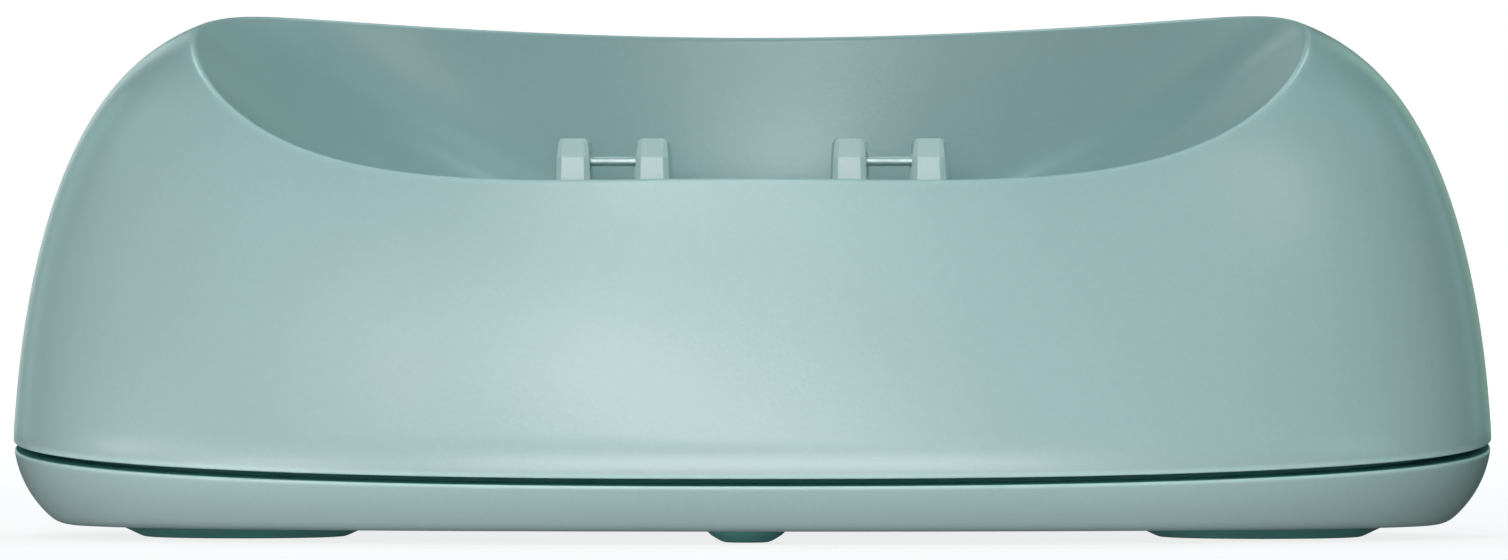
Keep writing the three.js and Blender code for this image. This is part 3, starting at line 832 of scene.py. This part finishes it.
def plastic(name, base, rough, grain=0.35, vary=0.04, spark=9000.0, wear_and_highlight=0.0, **sockets):
    """Moulded plastic: a fine spark-eroded grain, slow waviness of the moulding, faint tone and gloss changes."""
    m, nt, bsdf = new_material(name, base, rough, **sockets)
    p = position(nt)
    slow = noise(nt, p, 45.0, 3.0)
    fine = noise(nt, p, spark, 2.0)
    speck = noise(nt, p, 2600.0, 3.0)
    tone = remap(nt, slow, 0.05, 0.95)
    col = ramp_colour(nt, tone, scaled(base, 1 - vary), scaled(base, 1 + vary))
    mix = add(nt, "ShaderNodeMix", data_type="RGBA", blend_type="MULTIPLY")
    mix.inputs[0].default_value = 1.0
    nt.links.new(col, mix.inputs[6])
    nt.links.new(
        ramp_colour(nt, remap(nt, speck, 0.35, 0.65), (0.985,) * 3, (1.015,) * 3), mix.inputs[7]
    )
    colour = mix.outputs[2]
    if wear_and_highlight:
        # painted highlight: the lip and seam edges are lightened a little, unevenly
        edge_ = add(nt, "ShaderNodeAttribute", attribute_name="edge_painted_highlight").outputs["Fac"]
        patchy = add(nt, "ShaderNodeMath", operation="MULTIPLY")
        nt.links.new(edge_, patchy.inputs[0])
        nt.links.new(remap(nt, noise(nt, p, 420.0, 4.0), 0.3, 0.7, 0.7, 1.0), patchy.inputs[1])
        highlighted = add(nt, "ShaderNodeMix", data_type="RGBA")
        nt.links.new(patchy.outputs[0], highlighted.inputs[0])
        nt.links.new(colour, highlighted.inputs[6])
        highlighted.inputs[7].default_value = (*(min(1.0, v * (1 + wear_and_highlight)) for v in base), 1)
        colour = highlighted.outputs[2]
    nt.links.new(colour, bsdf.inputs["Base Color"])
    nt.links.new(remap(nt, slow, 0.05, 0.95, rough - 0.04, rough + 0.04), bsdf.inputs["Roughness"])
    n1 = bump(nt, bsdf, fine, grain, 0.00002)
    n2 = bump(nt, bsdf, speck, grain * 0.6, 0.00004, n1)
    bump(nt, bsdf, slow, 0.05, 0.0004, n2)
    return m


SAGE = (0.295, 0.462, 0.453)
MATERIALS = {
    "shell_plastic": plastic("sage_plastic", SAGE, 0.3, wear_and_highlight=0.45),
    "tray_plastic": plastic("sage_plastic_tray", scaled(SAGE, 0.98), 0.33, wear_and_highlight=0.45),
    # painted light: the posts get a paler copy of the sage plastic, standing in for their fronts catching the key
    # light
    "block_plastic": plastic("sage_plastic_posts_painted_lit", (0.53, 0.72, 0.705), 0.3, grain=0.25),
}


def metal(name, base, rough, brushed=None, tint=None, fine=3000.0, wear_and_highlight=0.05):
    """Metal with drawn or tumbled scratches, and a slight dulling in patches."""
    m, nt, bsdf = new_material(name, base, rough, 1.0)
    p = position(nt)
    patch = noise(nt, p, 380.0, 4.0)
    lines = noise(nt, p, fine, 3.0, 0.6, brushed)
    nt.links.new(
        ramp_colour(nt, remap(nt, patch, 0.35, 0.7), base, tint or scaled(base, 0.88)),
        bsdf.inputs["Base Color"],
    )
    r = add(nt, "ShaderNodeMath", operation="ADD")
    nt.links.new(remap(nt, lines, 0.3, 0.7, rough - 0.05, rough + 0.06), r.inputs[0])
    nt.links.new(remap(nt, patch, 0.45, 0.75, 0.0, wear_and_highlight), r.inputs[1])
    nt.links.new(r.outputs[0], bsdf.inputs["Roughness"])
    bump(nt, bsdf, lines, 0.25, 0.00001)
    return m


# painted reflection: the wire's steel is tinted sage-teal and lightened, standing in for the sage body it reflects
MATERIALS["contact_steel"] = metal("contact_wire_steel_painted_reflection", (0.56, 0.68, 0.675), 0.5, fine=2500.0)
MATERIALS["brass"] = metal("contact_brass", (0.80, 0.62, 0.30), 0.28, tint=(0.62, 0.42, 0.20))
MATERIALS["inlet_steel"] = metal("inlet_steel", (0.70, 0.70, 0.69), 0.27, (1, 0.1, 1), fine=5000.0)
MATERIALS["screw_steel"] = metal("screw_steel", (0.52, 0.53, 0.54), 0.32, fine=4000.0, wear_and_highlight=0.1)
MATERIALS["ballast_steel"] = metal(
    "ballast_zinc", (0.56, 0.57, 0.58), 0.38, tint=(0.42, 0.44, 0.45), fine=900.0, wear_and_highlight=0.15
)


def capacitor():
    m, nt, bsdf = new_material("capacitor_can", (0.62, 0.64, 0.66), 0.3, 1.0)
    lo_, hi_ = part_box("capacitor")
    p = position(nt)
    sep = add(nt, "ShaderNodeSeparateXYZ")
    nt.links.new(p, sep.inputs[0])
    lines = noise(nt, p, 4000.0, 3.0, 0.6, (1, 1, 0.1))
    # the sleeve stops short of the top of the can
    top = remap(nt, sep.outputs["Z"], hi_.z - 0.0011, hi_.z - 0.001)
    nt.links.new(
        ramp_colour(nt, top, (0.012, 0.013, 0.03), (0.66, 0.67, 0.69)), bsdf.inputs["Base Color"]
    )
    nt.links.new(top, bsdf.inputs["Metallic"])
    nt.links.new(remap(nt, lines, 0.3, 0.7, 0.24, 0.38), bsdf.inputs["Roughness"])
    bump(nt, bsdf, lines, 0.2, 0.00001)
    return m


MATERIALS["capacitor_can"] = capacitor()


def rubber():
    base = (0.035, 0.15, 0.135)
    m, nt, bsdf = new_material("foot_rubber", base, 0.62)
    p = position(nt)
    slow = noise(nt, p, 160.0, 4.0)
    fine = noise(nt, p, 5200.0, 4.0)
    dust = noise(nt, p, 900.0, 6.0, 0.7)
    mix = add(nt, "ShaderNodeMix", data_type="RGBA")
    nt.links.new(remap(nt, dust, 0.55, 0.75, 0.0, 0.25), mix.inputs[0])
    nt.links.new(
        ramp_colour(nt, remap(nt, slow, 0.3, 0.7), scaled(base, 0.92), scaled(base, 1.08)),
        mix.inputs[6],
    )
    mix.inputs[7].default_value = (0.09, 0.21, 0.19, 1)
    nt.links.new(mix.outputs[2], bsdf.inputs["Base Color"])
    nt.links.new(remap(nt, slow, 0.3, 0.7, 0.56, 0.7), bsdf.inputs["Roughness"])
    bump(nt, bsdf, fine, 0.4, 0.00003)
    return m


MATERIALS["foot_rubber"] = rubber()


def laminate():
    m, nt, bsdf = new_material("board_laminate", (0.02, 0.13, 0.06), 0.32)
    p = position(nt)
    weave = []
    for direction in ("X", "Y"):
        w = add(nt, "ShaderNodeTexWave", wave_type="BANDS", bands_direction=direction)
        w.inputs["Scale"].default_value = 620.0
        w.inputs["Distortion"].default_value = 0.4
        nt.links.new(p, w.inputs["Vector"])
        weave.append(w.outputs["Fac"])
    cross = add(nt, "ShaderNodeMath", operation="MULTIPLY")
    nt.links.new(weave[0], cross.inputs[0])
    nt.links.new(weave[1], cross.inputs[1])
    patch = noise(nt, p, 260.0, 3.0)
    both = add(nt, "ShaderNodeMath", operation="ADD")
    nt.links.new(cross.outputs[0], both.inputs[0])
    nt.links.new(patch, both.inputs[1])
    nt.links.new(
        ramp_colour(
            nt, remap(nt, both.outputs[0], 0.2, 1.4), (0.012, 0.095, 0.045), (0.03, 0.17, 0.085)
        ),
        bsdf.inputs["Base Color"],
    )
    nt.links.new(remap(nt, patch, 0.3, 0.7, 0.27, 0.4), bsdf.inputs["Roughness"])
    bump(nt, bsdf, cross.outputs[0], 0.3, 0.00002)
    return m


MATERIALS["board_laminate"] = laminate()
MATERIALS["black_component"] = plastic(
    "component_black", (0.022, 0.023, 0.025), 0.48, grain=0.5, vary=0.15
)

record_slots = {}
for entry in frame["record"].get("materials", []):
    for node in entry.get("nodes", []):
        record_slots[node] = entry.get("slot")
for name, node in frame["nodes"].items():
    slot = record_slots.get(name)
    if slot in MATERIALS:
        node.data.materials.clear()
        node.data.materials.append(MATERIALS[slot])
    node.data.shade_smooth()
    node.data.set_sharp_from_angle(angle=math.radians(32))

VISIBLE = {
    "shell_plastic": [shell],
    "tray_plastic": [tray],
    "block_plastic": blocks,
    "contact_steel": wires + springs,
    "foot_rubber": feet,
    "screw_steel": screws,
    "inlet_steel": [inlet],
    "black_component": [tongue],
    "brass": strips,
}
for slot, things in VISIBLE.items():
    for ob in things:
        ob.data.materials.clear()
        ob.data.materials.append(MATERIALS[slot])

# painted shade: the faces inside the parting line get a deeper, matt teal that stands in for the shadow in the gap
MATERIALS["joint_plastic"] = plastic(
    "sage_plastic_painted_seam_shade", (0.10, 0.34, 0.31), 0.85, grain=0.5, **{"Specular IOR Level": 0.12}
)
for ob in (shell, tray):
    me = ob.data
    me.materials.append(MATERIALS["joint_plastic"])
    mid = np.empty(len(me.polygons) * 3)
    me.polygons.foreach_get("center", mid)
    cx_, cy_, cz_ = mid.reshape(-1, 3).T / MM
    rise = cz_ - (SEAM_Z + SEAM_SLOPE * cy_)
    aa_, bb_ = half_width(cz_), half_depth(cz_)
    share = lambda d: (np.abs(cx_) / (aa_ - d)) ** POWER + (np.abs(cy_) / (bb_ - d)) ** POWER
    seam_shade_faces = (rise > -SEAM_GAP / 2 - 0.02) & (rise < TONGUE_UP + 0.1) & (share(0.25) < 1) & (share(3.0) > 1)
    seam_shade_faces &= (np.abs(rise) < SEAM_GAP / 2 + 0.02) | (share(1.9) < 1)
    me.polygons.foreach_set("material_index", seam_shade_faces.astype(np.int32))
    me.update()

# ------------------------------------------------------------------ floor
# pale and even: most of its brightness is its own, so only a soft shadow shows under the part
m_floor = bpy.data.materials.new("floor_pale")
m_floor.use_nodes = True
nt_floor = m_floor.node_tree
nt_floor.nodes.clear()
pf = position(nt_floor)
reach_f = add(nt_floor, "ShaderNodeVectorMath", operation="LENGTH")
nt_floor.links.new(pf, reach_f.inputs[0])
far = remap(nt_floor, reach_f.outputs["Value"], 0.10, 0.9)
glow = add(nt_floor, "ShaderNodeEmission")
nt_floor.links.new(
    ramp_colour(nt_floor, far, (0.80, 0.80, 0.80), (1.0, 1.0, 1.0)), glow.inputs["Color"]
)
matt = add(nt_floor, "ShaderNodeBsdfDiffuse")
nf = noise(nt_floor, pf, 30.0, 3.0)
nt_floor.links.new(
    ramp_colour(nt_floor, nf, (0.245, 0.245, 0.245), (0.255, 0.255, 0.255)), matt.inputs["Color"]
)
both_f = add(nt_floor, "ShaderNodeAddShader")
nt_floor.links.new(glow.outputs[0], both_f.inputs[0])
nt_floor.links.new(matt.outputs[0], both_f.inputs[1])
out_f = add(nt_floor, "ShaderNodeOutputMaterial")
nt_floor.links.new(both_f.outputs[0], out_f.inputs["Surface"])
# a round floor that sweeps up into a wall all round, far outside the lights
rows_f = [(r, 0.0) for r in (0.06, 0.12, 0.25, 0.5, 1.0, 1.6, 2.2)]
rows_f += [
    (2.2 + 1.2 * math.sin(a), 1.2 * (1 - math.cos(a))) for a in np.linspace(0, math.pi / 2, 17)[1:]
]
rows_f.append((3.4, 4.0))
fv, ff, sides = [(0, 0, -0.00003)], [], 96
for r_, z_ in rows_f:
    fv += [
        (r_ * math.cos(2 * math.pi * k / sides), r_ * math.sin(2 * math.pi * k / sides), z_ - 0.00003)
        for k in range(sides)
    ]
ff += [(0, 1 + k, 1 + (k + 1) % sides) for k in range(sides)]
for i in range(len(rows_f) - 1):
    for k in range(sides):
        a_, b_ = 1 + i * sides + k, 1 + i * sides + (k + 1) % sides
        ff.append((a_, a_ + sides, b_ + sides, b_))
fl = bpy.data.meshes.new("floor")
fl.from_pydata(fv, [], ff)
floor = bpy.data.objects.new("floor", fl)
bpy.context.scene.collection.objects.link(floor)
fl.materials.append(m_floor)
fl.shade_smooth()
floor.visible_diffuse = floor.visible_glossy = False
floor.visible_shadow = floor.visible_transmission = False


# ------------------------------------------------------------------ lights
def area(name, loc, target, w, h, power, colour=(1, 1, 1)):
    d = bpy.data.lights.new(name, "AREA")
    d.shape, d.size, d.size_y, d.energy, d.color = "RECTANGLE", w, h, power, colour
    ob = bpy.data.objects.new(name, d)
    bpy.context.scene.collection.objects.link(ob)
    ob.location = loc
    ob.rotation_euler = (Vector(target) - Vector(loc)).to_track_quat("-Z", "Y").to_euler()
    return ob


# (azimuth, elevation, width, height, watts, colour), all 1.2 m from the part; the ones below stand for the pale table's bounce
LAMPS = [
    (0, -25, 0.8, 0.3, 7.759, (1.000, 0.903, 0.914)),
    (-50, -25, 0.6, 0.3, 3.283, (1.000, 0.876, 0.875)),
    (-150, 60, 0.4, 0.4, 2.624, (0.767, 0.997, 1.000)),
    (-9, 12, 0.2, 0.2, 2.249, (1.000, 0.928, 0.975)),
    (150, 60, 0.4, 0.4, 2.040, (0.781, 0.995, 1.000)),
    (-8, 45, 0.1, 0.35, 1.681, (0.993, 0.974, 1.000)),
    (0, 2, 0.2, 0.2, 1.742, (1.000, 0.933, 0.932)),
    (-75, -7, 0.5, 0.2, 1.554, (1.000, 0.920, 0.884)),
    (60, 35, 0.4, 0.4, 1.376, (0.974, 0.993, 1.000)),
    (-8, 30, 0.1, 0.35, 0.957, (0.770, 1.000, 0.935)),
    (-28, 12, 0.2, 0.2, 1.004, (1.000, 0.709, 0.784)),
    (90, 60, 0.4, 0.4, 0.728, (0.649, 1.000, 0.994)),
    (0, 30, 0.1, 0.35, 0.669, (0.908, 1.000, 0.963)),
    (70, -7, 0.5, 0.2, 0.666, (0.610, 1.000, 0.779)),
    (-160, 12, 0.2, 0.6, 0.630, (0.781, 0.997, 1.000)),
    (-140, 12, 0.2, 0.6, 0.527, (0.576, 1.000, 0.932)),
    (-110, 35, 0.4, 0.4, 0.479, (0.569, 1.000, 0.869)),
    (0, 45, 0.1, 0.35, 0.418, (0.593, 1.000, 0.922)),
    (140, 12, 0.2, 0.6, 0.433, (0.538, 1.000, 1.000)),
    (110, 35, 0.4, 0.4, 0.374, (0.624, 0.948, 1.000)),
    (160, 12, 0.2, 0.6, 0.364, (0.640, 1.000, 0.749)),
    (180, 35, 1.2, 0.6, 0.226, (1.000, 1.000, 1.000)),
    (180, 8, 1.2, 0.3, 0.090, (1.000, 1.000, 1.000)),
]
for i, (az_, el_, w_, h_, watts, tint) in enumerate(LAMPS):
    a_, e_ = math.radians(az_), math.radians(el_)
    lamp = area(
        "softbox_%d" % (i + 1),
        (
            1.2 * math.sin(a_) * math.cos(e_),
            -1.2 * math.cos(a_) * math.cos(e_),
            0.02 + 1.2 * math.sin(e_),
        ),
        (0, 0, 0.02),
        w_,
        h_,
        watts,
        tint,
    )
    lamp.visible_camera = False

world = bpy.data.worlds.new("studio")
bpy.context.scene.world = world
world.use_nodes = True
world.node_tree.nodes["Background"].inputs["Color"].default_value = (1, 1, 1, 1)
world.node_tree.nodes["Background"].inputs["Strength"].default_value = 0.030
bpy.context.scene.view_settings.view_transform = "Standard"

# ------------------------------------------------------------------ finish
bpy.context.view_layer.update()
